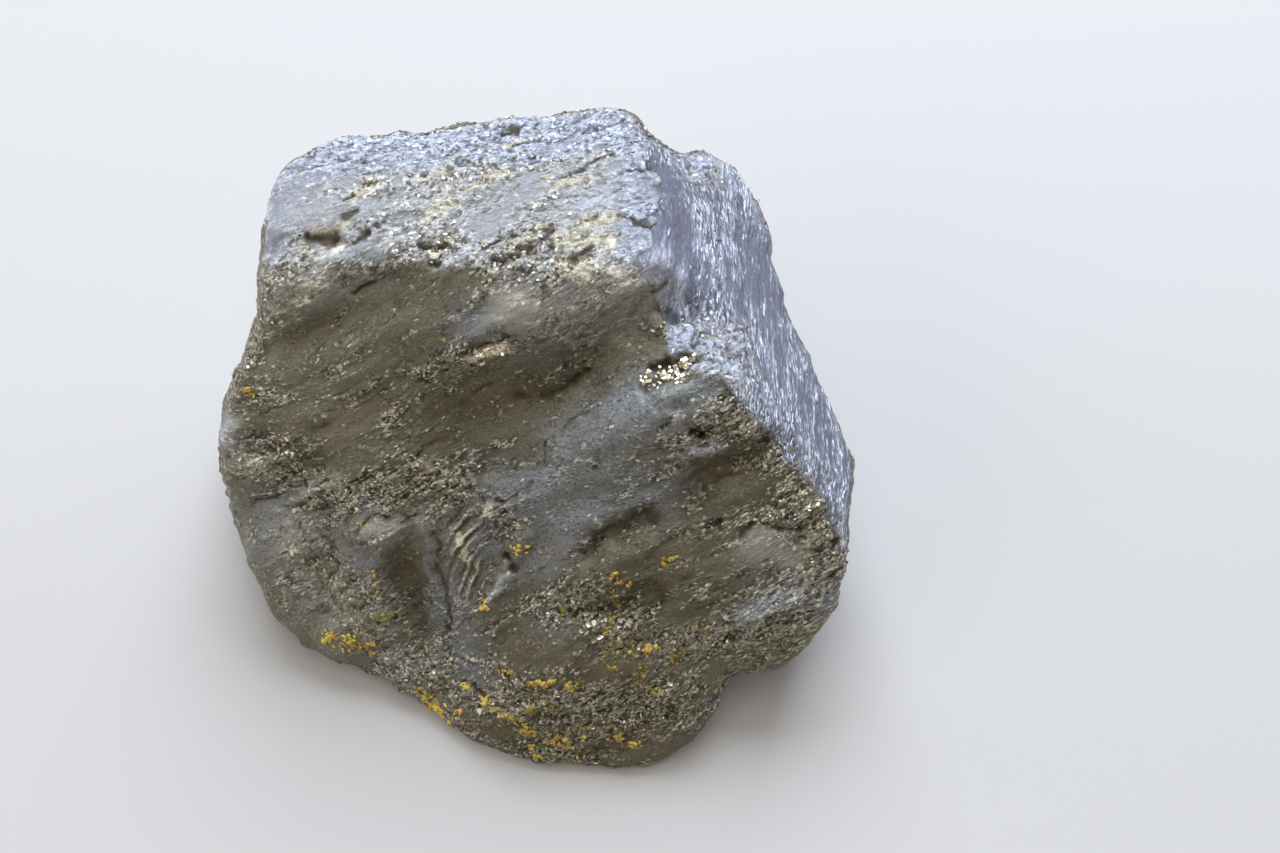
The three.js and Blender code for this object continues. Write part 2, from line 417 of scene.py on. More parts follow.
class Stone:
    """The fine surface: its points and normals, and how much of each region a point is in."""

    def __init__(self, mesh):
        self.points = vectors(mesh.vertices, "co") / MM
        self.normals = vectors(mesh.vertex_normals, "vector")
        self.places = seen_places(self.points)
        wide = [field(self.points, 4, 2, shift) for shift in (3, 9)]
        tight = [field(self.points, 1.1, 2, shift) for shift in (4, 8)]
        self.ragged = self.places + 0.8 * np.stack(wide, axis=1) + 0.25 * np.stack(tight, axis=1)
        self.off_base = smoothstep(0.1, 1.2, self.points[:, 2])

        # The two sides that the light falls on, which the material paints brighter. The left end of the
        # top bends down, but belongs to it.
        jitter = 0.1 * field(self.points, 4, 4)
        left_end = near(self.places, [(-32, 26.5), (-37, 26), (-36, 36)], 3)
        self.top = smoothstep(0.84, 0.92, self.normals @ TOP + jitter + 0.5 * left_end)
        self.flank = smoothstep(0.74, 0.90, self.normals @ FLANK + jitter) * (1 - self.top)
        self.flow = self.flow_coordinates()

        # How well the camera sees it. The patches reach a little further round than the relief.
        toward = self.normals @ SEEN
        self.seen = smoothstep(-0.1, 0.25, toward)
        self.shown = smoothstep(-0.35, 0.0, toward)
        self.hidden = smoothstep(0.3, -0.15, toward - 3 * jitter)

        left_side = near(self.ragged, [(-50, 20), (-51, 4), (-48, -14)], 4)
        self.greyed = np.maximum(self.hidden, 0.8 * left_side)
        self.violet_tone_and_sheen = self.violet_sheen_share()

    def flow_coordinates(self):
        """Along, across and through the flow: up the slope in front, along the ridge on the flank."""
        slope = math.radians(FLOW_SLOPE)
        along = SEEN_RIGHT * math.cos(slope) + SEEN_UP * math.sin(slope)
        front = np.stack([along, np.cross(SEEN, along), SEEN])
        ridge = np.array([0.0, 1.0, 0.0])
        flank = np.stack([ridge, np.cross(FLANK, ridge), FLANK])
        bend = 3 * np.stack([field(self.points, 30, 1, s) for s in (5, 15, 25)], axis=1)
        bent = self.points + bend
        drawn_out = (bent @ flank.T) * np.array([0.5, 1.3, 1.3])
        return np.where(self.flank[:, None] > 0.5, drawn_out, bent @ front.T)

    def violet_sheen_share(self):
        """A violet painted sheen on the flank, the back and both ends of the top, where the light falls,
        and less violet, as a plain tone, on the greyed sides.
        """
        right, up = self.ragged.T
        back = smoothstep(37, 42, up - 0.1 * right)
        ends = np.maximum(smoothstep(11, 18, right), 0.7 * smoothstep(-29, -36, right))
        top = self.top * np.maximum(back, ends).clip(0.3)
        return np.max([self.flank, top, 0.6 * self.greyed], axis=0)

    def strength(self, patches):
        """How much of a list of patches each point is in."""
        total = np.zeros(len(self.points))
        for path, reach in patches:
            total = np.maximum(total, near(self.ragged, path, reach))
        return total * self.shown


def relief_height(stone):
    height = np.zeros(len(stone.points))
    for _, path, reach, rise in RELIEF:
        height += rise * near(stone.ragged, path, reach)
    height = (height - creases(stone)) * stone.seen
    for _, path, reach, rise in OUTLINE:
        height += rise * near(stone.ragged, path, reach)
    return height


def creases(stone):
    """How deep the creases are, in millimetres: they come and go along their paths. The material darkens
    them with painted shade.
    """
    depth = np.zeros(len(stone.points))
    for path, reach in CREASES:
        depth = np.maximum(depth, reach * near(stone.ragged, path, reach))
    return depth * smoothstep(-0.8, 0.1, field(stone.points, 2, 2, 31.0))


def flow_folds(stone):
    """Broad folds that run up the slope, with finer ones of every size on them."""
    stretched = stone.flow * np.array([0.25, 1.0, 0.6])
    broad = field(stretched, FOLD_SPACING, 2, 4.0)
    finer = field(stretched, FINE_FOLD_SPACING, 3, 8.0)
    return (0.55 * broad + 0.22 * finer) * (1 - 0.8 * stone.flank)


def bed_shares(stone):
    """How far each point is across the thin bed it lies in, from 0 to 1 at its broken edge."""
    stretched = stone.flow * np.array([0.3, 1.0, 0.6])
    beds = stone.flow[:, 1] / BED_SPACING + 1.3 * field(stretched, 9, 4, 17.0)
    return beds - np.floor(beds)


def bed_height(stone, shares):
    """Thin overlapping beds: each rises gently across the flow, then breaks off."""
    thick = 0.5 * np.clip(0.5 + field(stone.points, 7, 2, 21.0), 0, 1.2)
    return thick * shares * (1 - smoothstep(0.8, 1.0, shares)) * (1 - 0.8 * stone.flank)


def blue_sheen_and_grey(stone):
    """How blue-grey the satin is: a painted sheen in its patches, and a plain tone, uneven, on the hidden
    sides.
    """
    greyed = stone.greyed * (0.5 + 0.4 * field(stone.points, 14, 3, 19.0))
    return np.maximum(stone.strength(BLUE_SHEEN_PATCHES), greyed)


def striations(stone):
    """Fine lines and shallow waves along the flank."""
    lines = field(stone.flow * np.array([0.05, 1.0, 1.0]), STRIATION_SPACING, 2, 2.0)
    waves = field(stone.flow * np.array([0.15, 1.0, 1.0]), 4, 2, 6.0)
    return (0.09 * lines + 0.2 * waves) * stone.flank


def granularity(stone, shares):
    """0 where the surface is satin and 1 where it is broken into grains, as along the bed edges."""
    stretched = stone.flow * np.array([0.35, 1.0, 0.8])
    wander = field(stretched, 5, 3, 12.0)
    edges = smoothstep(0.7, 0.9, shares)
    grain = 0.2 + 0.5 * wander + 0.25 * edges
    grain += 0.6 * stone.strength(GRANULAR) - 0.4 * stone.strength(SATIN)
    grain += 0.35 * stone.top + 0.08 * stone.flank + 0.15 * stone.hidden
    return np.clip(grain, 0, 1)


def grain_height(stone, grain):
    """Crumpled and split grains, lumps on the top, and large chips on the hidden sides."""
    fine = field(stone.points, 0.9, 2, 7.0)
    bent = stone.flow * np.array([0.5, 1.0, 1.0]) + 0.3 * fine[:, None]
    crumpled = field(bent, GRAIN_WIDTH, 4, 3.0)
    split = chips(bent, CHIP_WIDTH, 5.0)
    hidden_chips = np.clip(chips(stone.points, HIDDEN_CHIP_WIDTH, 11.0), -1, 0.6) * stone.hidden ** 3
    lumps = field(bent, LUMP_SPACING, 3, 23.0) * stone.top
    rough = (0.4 * crumpled + 0.3 * split) * (1 - 0.8 * stone.flank + 0.5 * stone.top) + 0.55 * lumps
    return rough * grain + 0.03 * fine + 0.9 * hidden_chips


def fibres(stone):
    """Curved fibres in the pocket beside the gully."""
    ring = np.linalg.norm(stone.places - FIBRE_CENTRE, axis=1) + 0.4 * field(stone.points, 2.5, 2)
    lines = field(np.stack([ring, ring * 0, ring * 0], axis=1), FIBRE_SPACING, 2)
    whole = smoothstep(-1.0, 0.0, field(stone.points, 2, 2, 14.0))
    return 0.6 * lines * whole * stone.strength(FIBRES)


# ---------------------------------------------------------------- meshes


def vectors(items, name):
    """One vector for each item, as rows."""
    values = np.empty(len(items) * 3)
    items.foreach_get(name, values)
    return values.reshape(-1, 3)


def numbers(items, name, each=1):
    """The whole numbers of all items in one row. Each item has as many as each says."""
    values = np.empty(len(items) * each, int)
    items.foreach_get(name, values)
    return values


def apply_modifiers(piece):
    depsgraph = bpy.context.evaluated_depsgraph_get()
    mesh = bpy.data.meshes.new_from_object(piece.evaluated_get(depsgraph))
    piece.modifiers.clear()
    piece.data = mesh


def link(name, data):
    piece = bpy.data.objects.new(name, data)
    bpy.context.scene.collection.objects.link(piece)
    return piece


def store(mesh, name, values):
    values = np.asarray(values, float)
    kind = "FLOAT" if values.ndim == 1 else "FLOAT_VECTOR"
    attribute = mesh.attributes.new(name, kind, "POINT")
    attribute.data.foreach_set("value" if values.ndim == 1 else "vector", values.ravel())


def move_points(mesh, points):
    mesh.vertices.foreach_set("co", (points * MM).ravel())
    mesh.update()


def hollowness(mesh, rounds):
    """How far each point lies below those around it, in millimetres: crests are below 0."""
    first, second = numbers(mesh.edges, "vertices", 2).reshape(-1, 2).T
    count = len(mesh.vertices)
    share = np.bincount(first, minlength=count) + np.bincount(second, minlength=count)
    points = vectors(mesh.vertices, "co") / MM
    around = points
    for _ in range(rounds):
        total = [
            np.bincount(first, around[second, axis], count)
            + np.bincount(second, around[first, axis], count)
            for axis in range(3)
        ]
        around = np.stack(total, axis=1) / share[:, None]
    return np.sum((around - points) * vectors(mesh.vertex_normals, "vector"), axis=1)


FINE_SPACING = 0.33
MOST_TRIANGLES = 190_000
HOLLOW_ROUNDS = 5  # how often the surroundings are averaged to find the hollows


def wear_brow(weld):
    """Rounds the brow where it is worn, before the mesh is made finer."""
    places = seen_places(np.array([tuple(vertex.co / MM) for vertex in weld.verts]))
    facing_up = np.array([vertex.normal.dot(Vector(SEEN)) > 0 for vertex in weld.verts])
    axes = {"use_axis_" + axis: True for axis in "xyz"}
    for path, reach in WORN:
        worn = (near(places, path, reach) > 0.4) & facing_up
        chosen = [vertex for vertex, is_worn in zip(weld.verts, worn) if is_worn]
        for _ in range(6):
            bmesh.ops.smooth_vert(weld, verts=chosen, factor=0.5, **axes)


def fine_copy(source):
    lump = link("graphite_surface", source.data.copy())
    weld = bmesh.new()
    weld.from_mesh(lump.data)
    bmesh.ops.remove_doubles(weld, verts=weld.verts, dist=1e-6)
    wear_brow(weld)
    weld.to_mesh(lump.data)
    weld.free()
    rounding = lump.modifiers.new("rounding", "SUBSURF")
    rounding.levels = 2
    remesh = lump.modifiers.new("remesh", "REMESH")
    remesh.mode = "VOXEL"
    remesh.voxel_size = FINE_SPACING * MM
    apply_modifiers(lump)
    lump.data.materials.clear()
    return lump


def work_surface(lump):
    stone = Stone(lump.data)
    shares = bed_shares(stone)
    grain = granularity(stone, shares)
    height = relief_height(stone) + flow_folds(stone) + bed_height(stone, shares)
    fibre = fibres(stone)
    height += striations(stone) + grain_height(stone, grain) + fibre
    points = stone.points + stone.normals * (height * stone.off_base)[:, None]
    points[:, 2] = np.maximum(points[:, 2], 0)
    move_points(lump.data, points)
    shown = {
        "outward": stone.normals,
        "flow": stone.flow,
        "top": stone.top,
        "flank": stone.flank,
        "violet_tone_and_sheen": stone.violet_tone_and_sheen,
        "grain": grain,
        "fibre": fibre,
        "crease": creases(stone) * stone.seen,
        "sheen_and_grey_blue": blue_sheen_and_grey(stone),
        "shade_patches": stone.strength(SHADE_PATCHES),
        "lilac_highlight": stone.strength(LILAC_HIGHLIGHTS),
        "ashen": stone.strength(ASHEN),
        "warm": stone.strength(WARM),
        "stain": stone.strength(STAIN),
        "hollow": hollowness(lump.data, HOLLOW_ROUNDS),
    }
    for name, values in shown.items():
        store(lump.data, name, values)


def thin_out(lump):
    """Leaves small triangles where the surface is rough, and larger ones where it is smooth."""
    triangles = sum(len(face.vertices) - 2 for face in lump.data.polygons)
    fewer = lump.modifiers.new("fewer", "DECIMATE")
    fewer.ratio = min(1, MOST_TRIANGLES / triangles)
    apply_modifiers(lump)
    lump.data.shade_smooth()


def lay_flat(mesh, places):
    """Gives each face corner its place on the texture, from 0 to 1."""
    layer = mesh.uv_layers.new(name="OFBake")
    layer.uv.foreach_set("vector", places.ravel())


# Flat views of the lump that share one texture: azimuth, rise, scale and where the middle lies.
SHEET = 170
VIEWS = [
    (270, SEEN_RISE, 1.0, (49, 53)),
    (0, 50, 0.8, (133, 32)),
    (180, 20, 0.72, (133, 84)),
    (90, 35, 0.95, (41, 136)),
    (270, -90, 0.65, (125, 138)),
]


def lay_out_lump(mesh):
    """Lays the surface flat for textures, each face in the view that it faces the most."""
    corners = numbers(mesh.loops, "vertex_index")
    points = vectors(mesh.vertices, "co")[corners] / MM
    outward = vectors(mesh.attributes["outward"].data, "vector")[corners]
    sides = np.array([facing(azimuth, rise) for azimuth, rise, _, _ in VIEWS])
    shares = np.add.reduceat(outward, numbers(mesh.polygons, "loop_start")) @ sides.T
    view = np.repeat(np.argmax(shares, axis=1), numbers(mesh.polygons, "loop_total"))
    places = np.empty((len(corners), 2))
    for index, (azimuth, _, scale, middle) in enumerate(VIEWS):
        right = facing(azimuth + 90, 0)
        flat = points[view == index] @ np.stack([right, np.cross(sides[index], right)], axis=1)
        centred = flat - (flat.min(axis=0) + flat.max(axis=0)) / 2
        places[view == index] = (np.array(middle) + scale * centred) / SHEET
    lay_flat(mesh, places)


class Ground:
    """The finished surface, with scattering for the small things that grow on it."""

    def __init__(self, mesh):
        mesh.calc_loop_triangles()
        self.corners = numbers(mesh.loop_triangles, "vertices", 3).reshape(-1, 3)
        self.points = vectors(mesh.vertices, "co") / MM
        self.normals = vectors(mesh.vertex_normals, "vector")
        self.areas = np.empty(len(self.corners))
        mesh.loop_triangles.foreach_get("area", self.areas)
        self.middles = self.points[self.corners].mean(axis=1)
        self.seen = self.normals[self.corners].mean(axis=1) @ SEEN > -0.1
        self.places = seen_places(self.middles)
        self.grain = self.stored(mesh, "grain")
        self.violet_tone_and_sheen = self.stored(mesh, "violet_tone_and_sheen")

    def stored(self, mesh, name):
        values = np.empty(len(mesh.vertices))
        mesh.attributes[name].data.foreach_get("value", values)
        return values[self.corners].mean(axis=1)

    def near(self, path, reach):
        return near(self.places, path, reach) * self.seen

    def scatter(self, weights, count, draw):
        """Random points on the surface and their normals, thicker where the weights are high."""
        chance = weights * self.areas
        chosen = self.corners[draw.choice(len(chance), count, p=chance / chance.sum())]
        shares = draw.dirichlet((1, 1, 1), count)[:, :, None]
        normals = (self.normals[chosen] * shares).sum(axis=1)
        return (self.points[chosen] * shares).sum(axis=1), unit(normals)


def unit(rows):
    return rows / np.linalg.norm(rows, axis=1, keepdims=True)


def many_copies(name, shape, faces, frames, centres, tones):
    """One mesh of copies of a shape, each with its own scaled axes, centre, tone and texture cell."""
    copies = len(centres)
    points = np.einsum("ckj,cji->cki", shape, frames) + centres[:, None, :]
    points[:, :, 2] = np.maximum(points[:, :, 2], 0.02)
    count = shape.shape[1]
    shifted = [[corner + copy * count for corner in face] for copy in range(copies) for face in faces]
    mesh = bpy.data.meshes.new(name)
    mesh.from_pydata((points.reshape(-1, 3) * MM).tolist(), [], shifted)
    store(mesh, "tone", np.repeat(tones, count))
    side = math.ceil(math.sqrt(copies))
    cells = np.stack(np.divmod(np.arange(copies), side), axis=1)[:, None, :] + 0.5
    oblique = shape[:, :, :2] + 0.3 * shape[:, :, 2:]
    flat = (cells + 0.45 * oblique / np.abs(oblique).max()) / side
    lay_flat(mesh, flat.reshape(-1, 2)[numbers(mesh.loops, "vertex_index")])
    piece = link(name, mesh)
    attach(piece, "root")
    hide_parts(NODE)
    return piece


def frames_around(normals, lean, draw):
    """Random axes for each copy: the third is the normal, leaning a random way."""
    third = unit(normals + lean * draw.normal(size=normals.shape))
    first = unit(np.cross(third, draw.normal(size=normals.shape)))
    return np.stack([first, np.cross(third, first), third], axis=1)


# How many plates there are, and how wide the small things are, in millimetres.
PLATES = 9000
PLATE_WIDTH = 0.26
CRUST_WIDTH = 0.22
CRYSTAL_WIDTHS = (0.09, 0.24)


def plates(ground):
    """Loose cleavage plates: uneven five-sided tablets that stick out a little from the grains."""
    draw = np.random.default_rng(11)
    grainy = np.clip(ground.grain - 0.4, 0.003, 1) ** 1.5
    centres, normals = ground.scatter(grainy * (1 - 0.9 * ground.violet_tone_and_sheen), PLATES, draw)
    turns = np.linspace(0, math.tau, 5, endpoint=False)[None, :] + draw.uniform(-0.4, 0.4, (PLATES, 5))
    radii = draw.uniform(0.7, 1.2, (PLATES, 5))
    rim = np.stack([radii * np.cos(turns), 0.65 * radii * np.sin(turns)], axis=2)
    above = np.concatenate([rim, np.full((PLATES, 5, 1), 0.5)], axis=2)
    below = np.concatenate([rim * 0.9, np.full((PLATES, 5, 1), -0.5)], axis=2)
    faces = [(0, 1, 2, 3, 4), (9, 8, 7, 6, 5)]
    faces += [(k + 5, (k + 1) % 5 + 5, (k + 1) % 5, k) for k in range(5)]
    frames = frames_around(normals, 0.3, draw)
    width = draw.lognormal(math.log(PLATE_WIDTH), 0.35, PLATES).clip(0.12, 0.6)
    thick = width * draw.uniform(0.25, 0.5, PLATES)
    frames *= np.stack([width, width, thick], axis=1)[:, :, None]
    shape = np.concatenate([above, below], axis=1)
    return many_copies("graphite_flakes", shape, faces, frames, centres, draw.uniform(size=PLATES))


def ball():
    """A small ball of 80 triangles, as points and faces."""
    mesh = bmesh.new()
    bmesh.ops.create_icosphere(mesh, subdivisions=2, radius=1)
    points = np.array([tuple(vertex.co) for vertex in mesh.verts])
    faces = [tuple(vertex.index for vertex in face.verts) for face in mesh.faces]
    mesh.free()
    return points, faces


def crust(ground):
    """Warty grains of ochre that crowd together in patches."""
    draw = np.random.default_rng(23)
    points, faces = ball()
    centres, normals, tones = [], [], []
    clumps = smoothstep(-0.1, 0.4, field(ground.middles, 0.8, 2, 41.0))
    for path, reach, grains, tone in CRUST:
        found, out = ground.scatter(ground.near(path, reach) * clumps, grains, draw)
        centres.append(found)
        normals.append(out)
        tones.append((tone + draw.normal(0, 0.25, grains)).clip(0, 1))
    centres, normals, tones = (np.concatenate(rows) for rows in (centres, normals, tones))
    count = len(centres)
    shape = points[None] * draw.uniform(0.55, 1.35, (count, len(points), 1))
    frames = frames_around(normals, 0.3, draw)
    width = draw.lognormal(math.log(CRUST_WIDTH), 0.4, count).clip(0.1, 0.45)
    frames *= np.stack([1.3 * width, 0.8 * width, 0.55 * width], axis=1)[:, :, None]
    return many_copies("ochre_crust", shape, faces, frames, centres, tones)


def crystals(ground):
    """Pale blocky crystals in the vug, in the lens-shaped scar and on the top."""
    draw = np.random.default_rng(37)
    block = np.array([(x, y, z) for z in (-1, 1) for x, y in ((-1, -1), (1, -1), (1, 1), (-1, 1))], float)
    faces = [(3, 2, 1, 0), (4, 5, 6, 7)] + [(k, (k + 1) % 4, (k + 1) % 4 + 4, k + 4) for k in range(4)]
    centres, normals = [], []
    for path, reach, count in CRYSTALS:
        found, out = ground.scatter(ground.near(path, reach), count, draw)
        centres.append(found)
        normals.append(out)
    centres, normals = np.concatenate(centres), np.concatenate(normals)
    count = len(centres)
    shape = block[None] * draw.uniform(0.75, 1.15, (count, 8, 1))
    frames = frames_around(unit(normals + 1.4 * TOP), 0.3, draw)
    width = draw.uniform(*CRYSTAL_WIDTHS, count)
    long = width * draw.uniform(1.0, 2.2, count)
    frames *= np.stack([long, width, 0.8 * width], axis=1)[:, :, None]
    return many_copies("pale_crystals", shape, faces, frames, centres, draw.uniform(size=count))


lump = fine_copy(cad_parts[NODE])
work_surface(lump)
thin_out(lump)
lay_out_lump(lump.data)
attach(lump, "root")
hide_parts(NODE)
ground = Ground(lump.data)
flakes = plates(ground)
ochre = crust(ground)
pale = crystals(ground)
for piece in (lump, flakes, ochre, pale):
    print(piece.name, sum(len(face.vertices) - 2 for face in piece.data.polygons), "triangles")

# ---------------------------------------------------------------- materials


class Shade:
    """Adds nodes to one material. A value is a number, a colour or another node's output."""

    def __init__(self, name):
        self.material = bpy.data.materials.new(name)
        self.material.use_nodes = True
        self.tree = self.material.node_tree
        self.surface = self.tree.nodes["Principled BSDF"].inputs

    def put(self, socket, value):
        if isinstance(value, bpy.types.NodeSocket):
            self.tree.links.new(value, socket)
        else:
            socket.default_value = value

    def node(self, kind, inputs, output=0, **settings):
        added = self.tree.nodes.new("ShaderNode" + kind)
        for name, value in settings.items():
            setattr(added, name, value)
        for name, value in inputs.items():
            self.put(added.inputs[name], value)
        return added.outputs[output]

    def stored(self, name, output="Fac"):
        return self.node("Attribute", {}, output, attribute_name=name)

    def place(self):
        """The place on the lump, in millimetres."""
        return self.scaled(self.node("TexCoord", {}, "Object"), 1 / MM)

    def scaled(self, vector, factor):
        return self.node("VectorMath", {0: vector, "Scale": factor}, operation="SCALE")

    def stretched(self, vector, shares):
        return self.node("VectorMath", {0: vector, 1: shares}, operation="MULTIPLY")

    def sum(self, first, second):
        return self.node("Math", {0: first, 1: second}, operation="ADD")

    def product(self, first, second):
        return self.node("Math", {0: first, 1: second}, operation="MULTIPLY")

    def ramp(self, value, low, high, to_low=0.0, to_high=1.0):
        """Runs smoothly from to_low at low to to_high at high."""
        inputs = {"Value": value, "From Min": low, "From Max": high, "To Min": to_low, "To Max": to_high}
        return self.node("MapRange", inputs, interpolation_type="SMOOTHSTEP")

    def noise(self, vector, spacing, detail=2.0, roughness=0.5):
        inputs = {"Vector": vector, "Scale": 1 / spacing, "Detail": detail, "Roughness": roughness}
        return self.node("TexNoise", inputs)

    def ragged(self, vector):
        """A small random vector that makes straight cell edges ragged."""
        inputs = {"Vector": vector, "Scale": 2.2, "Detail": 2.0}
        colour = self.node("TexNoise", inputs, "Color")
        return self.node("VectorMath", {0: colour, 1: (0.5, 0.5, 0.5)}, operation="SUBTRACT")

    def cells(self, vector, spacing):
        """A random colour for each cell about spacing millimetres across."""
        return self.node("TexVoronoi", {"Vector": vector, "Scale": 1 / spacing}, "Color")

    def channels(self, colour):
        split = self.node("SeparateColor", {"Color": colour}).node
        return split.outputs["Red"], split.outputs["Green"], split.outputs["Blue"]

    def mix(self, share, first, second):
        return self.node("MixRGB", {"Fac": share, "Color1": first, "Color2": second})

    def bump(self, height, millimetres, normal=None):
        inputs = {"Height": height, "Distance": millimetres * MM}
        if normal:
            inputs["Normal"] = normal
        return self.node("Bump", inputs)

    def tilted(self, normal, colour, amount):
        """The normal, turned a random way in each cell by that cell's colour."""
        centred = self.node("VectorMath", {0: colour, 1: (0.5, 0.5, 0.5)}, operation="SUBTRACT")
        turn = self.scaled(centred, amount)
        leaning = self.node("VectorMath", {0: normal, 1: turn}, operation="ADD")
        return self.node("VectorMath", {0: leaning}, operation="NORMALIZE")


OLIVE_SATIN = (0.22, 0.2, 0.138, 1)
# Brown for the stone's darker bands, and for painted shade in the hollows.
BROWN_BANDS_AND_SHADE = (0.138, 0.12, 0.075, 1)
# Blue-grey for the hidden sides, and for a painted sheen in patches.
BLUE_GREY_AND_SHEEN = (0.275, 0.295, 0.31, 1)
# Violet and pearl: painted sheen on the lit top and flank.
VIOLET_SHEEN = (0.178, 0.187, 0.242, 1)
PEARL_SHEEN = (0.33, 0.325, 0.34, 1)
ASHEN_SATIN = (0.465, 0.435, 0.36, 1)
# Painted shade colours, brown and black, for creases, fibre gaps, mottle dips, grain gaps, nooks and
# hollows.
BROWN_SHADE = (0.14, 0.105, 0.058, 1)
SHADE_BLACK = (0.03, 0.027, 0.022, 1)
GOLD_FIBRE_HIGHLIGHT = (0.92, 0.82, 0.60, 1)
# Painted highlight colours for lit crests, specks and glints: pale, gold and blue.
PALE_HIGHLIGHT = (0.88, 0.84, 0.75, 1)
GOLD_HIGHLIGHT = (0.76, 0.67, 0.49, 1)
BLUE_HIGHLIGHT = (0.86, 0.89, 0.97, 1)
WARM_WHITE = (0.99, 0.91, 0.72, 1)
CREAM_SHADE = (0.50, 0.41, 0.27, 1)
OCHRE_STAIN = (0.17, 0.12, 0.045, 1)


class GraphiteShade(Shade):
    """Satin metal-grey cleavage, broken here and there into grains, with painted highlights on their
    crests and painted shade between them.
    """

    BAND_WIDTH = 7
    CLUMP_WIDTH = 2.0
    CRUMPLE_WIDTH = 0.55
    MOTTLE_WIDTH = 0.35
    GLINT_WIDTH = 0.26

    def __init__(self):
        super().__init__("graphite")
        self.flow = self.stored("flow", "Vector")
        self.top = self.stored("top")
        self.flank = self.stored("flank")
        self.violet_tone_and_sheen = self.stored("violet_tone_and_sheen")
        self.ashen = self.stored("ashen")
        self.lit = self.sum(self.top, self.flank)
        # Painted highlight colour: gold on the front, pale on the top, blue where the violet sheen is
        # painted.
        self.highlight_colour = self.mix(self.violet_tone_and_sheen, self.mix(self.top, GOLD_HIGHLIGHT, PALE_HIGHLIGHT), BLUE_HIGHLIGHT)
        self.bands = self.along_flow((0.25, 1, 0.7), self.BAND_WIDTH, 3)
        self.clumps = self.along_flow((0.5, 1, 1), self.CLUMP_WIDTH, 6, 0.7)
        self.crumple = self.along_flow((0.4, 1, 1), self.CRUMPLE_WIDTH, 5, 0.8)
        self.mottle = self.along_flow((0.7, 1, 1), self.MOTTLE_WIDTH, 3, 0.7)
        grain = self.sum(self.stored("grain"), self.product(self.clumps, 3))
        self.broken = self.ramp(grain, 1.5, 2.4)
        self.torn = self.ramp(self.crumple, 0.4, 0.6, 0.2, 0.6)
        self.speckle = self.cells(self.dashes(), self.GLINT_WIDTH)
        _, self.gloss, pick = self.channels(self.speckle)
        scarce = self.ramp(self.broken, 0, 1, 0.99, 0.83)
        self.glints = self.node("Math", {0: pick, 1: scarce}, operation="GREATER_THAN")

    def along_flow(self, shares, spacing, detail, roughness=0.5):
        """Noise that is drawn out along the flow where the first share is below 1."""
        return self.noise(self.stretched(self.flow, shares), spacing, detail, roughness)

    def dashes(self):
        """Places for short dashes along the flow, with ragged edges."""
        drawn_out = self.stretched(self.flow, (0.5, 1, 1))
        waver = self.scaled(self.ragged(self.flow), 0.5)
        return self.node("VectorMath", {0: drawn_out, 1: waver}, operation="ADD")

    def satin(self):
        """The smooth cleavage, in bands and patches of colour, with painted shade in its brown patches, a
        painted blue-grey sheen in other patches, and a paler, violet painted sheen on the lit top and
        flank.
        """
        # Painted shade in the brown patches, and darker bands of the stone's own.
        bands_and_shade = self.sum(self.product(self.stored("shade_patches"), 0.75), self.ramp(self.bands, 0.6, 0.4, 0, 0.3))
        # Blue-grey painted sheen in patches, and the plain blue-grey of the hidden sides.
        colour = self.mix(self.stored("sheen_and_grey_blue"), OLIVE_SATIN, BLUE_GREY_AND_SHEEN)
        colour = self.mix(bands_and_shade, colour, BROWN_BANDS_AND_SHADE)
        colour = self.mix(self.product(self.ashen, 0.8), colour, ASHEN_SATIN)
        # The lit top and flank get a paler, violet painted sheen.
        return self.mix(self.lit, colour, self.mix(self.violet_tone_and_sheen, PEARL_SHEEN, VIOLET_SHEEN))

    def speckled(self, colour):
        """Paints a highlight on the top, then brown painted shade where the fine mottle dips and pale
        painted highlights where it rises.
        """
        # Painted highlight on the top, more where it is broken.
        top_highlight = self.product(self.top, self.ramp(self.broken, 0, 1, 0.2, 0.65))
        colour = self.mix(top_highlight, colour, self.highlight_colour)
        # Painted shade: brown where the fine mottle dips, which its bump sinks; less of it on the top.
        mottle_shade = self.product(self.ramp(self.mottle, 0.52, 0.35), self.ramp(self.top, 0, 1, 0.75, 0.3))
        colour = self.mix(mottle_shade, colour, BROWN_SHADE)
        # Painted highlights: pale specks where the fine mottle rises, in crowded clumps.
        crowded = self.ramp(self.clumps, 0.42, 0.62, 0, 0.55)
        speck_highlights = self.product(self.ramp(self.mottle, 0.54, 0.68), crowded)
        return self.mix(speck_highlights, colour, self.highlight_colour)

    def grained(self, colour):
        """Adds grains, paler on the lit sides, with painted highlights on their crests, black painted
        shade in the gaps between them, and painted glints.
        """
        # Painted light: the broken grains are paler on the lit top and flank.
        pale = self.sum(self.ramp(self.lit, 0, 1, 0.1, 0.5), self.product(self.flank, -0.22))
        colour = self.mix(self.product(self.broken, pale), colour, self.highlight_colour)
        # Painted shade: black in the gaps of the crumple, which its bump sinks.
        gap_shade = self.product(self.ramp(self.crumple, 0.51, 0.43), self.broken)
        colour = self.mix(self.product(gap_shade, self.ramp(self.lit, 0, 1, 0.9, 0.6)), colour, SHADE_BLACK)
        # Painted highlight on the crumple's crests, brightest on the top.
        crest_highlight = self.product(self.ramp(self.crumple, 0.52, 0.6), self.broken)
        crest_highlight_share = self.sum(self.ramp(self.top, 0, 1, 0.76, 0.95), self.product(self.flank, -0.2))
        colour = self.mix(self.product(crest_highlight, crest_highlight_share), colour, self.highlight_colour)
        colour = self.mix(self.product(self.ashen, 0.5), colour, ASHEN_SATIN)
        share = self.product(self.glints, self.ramp(self.broken, 0, 1, 0.5, 0.85))
        return self.mix(share, colour, self.highlight_colour)

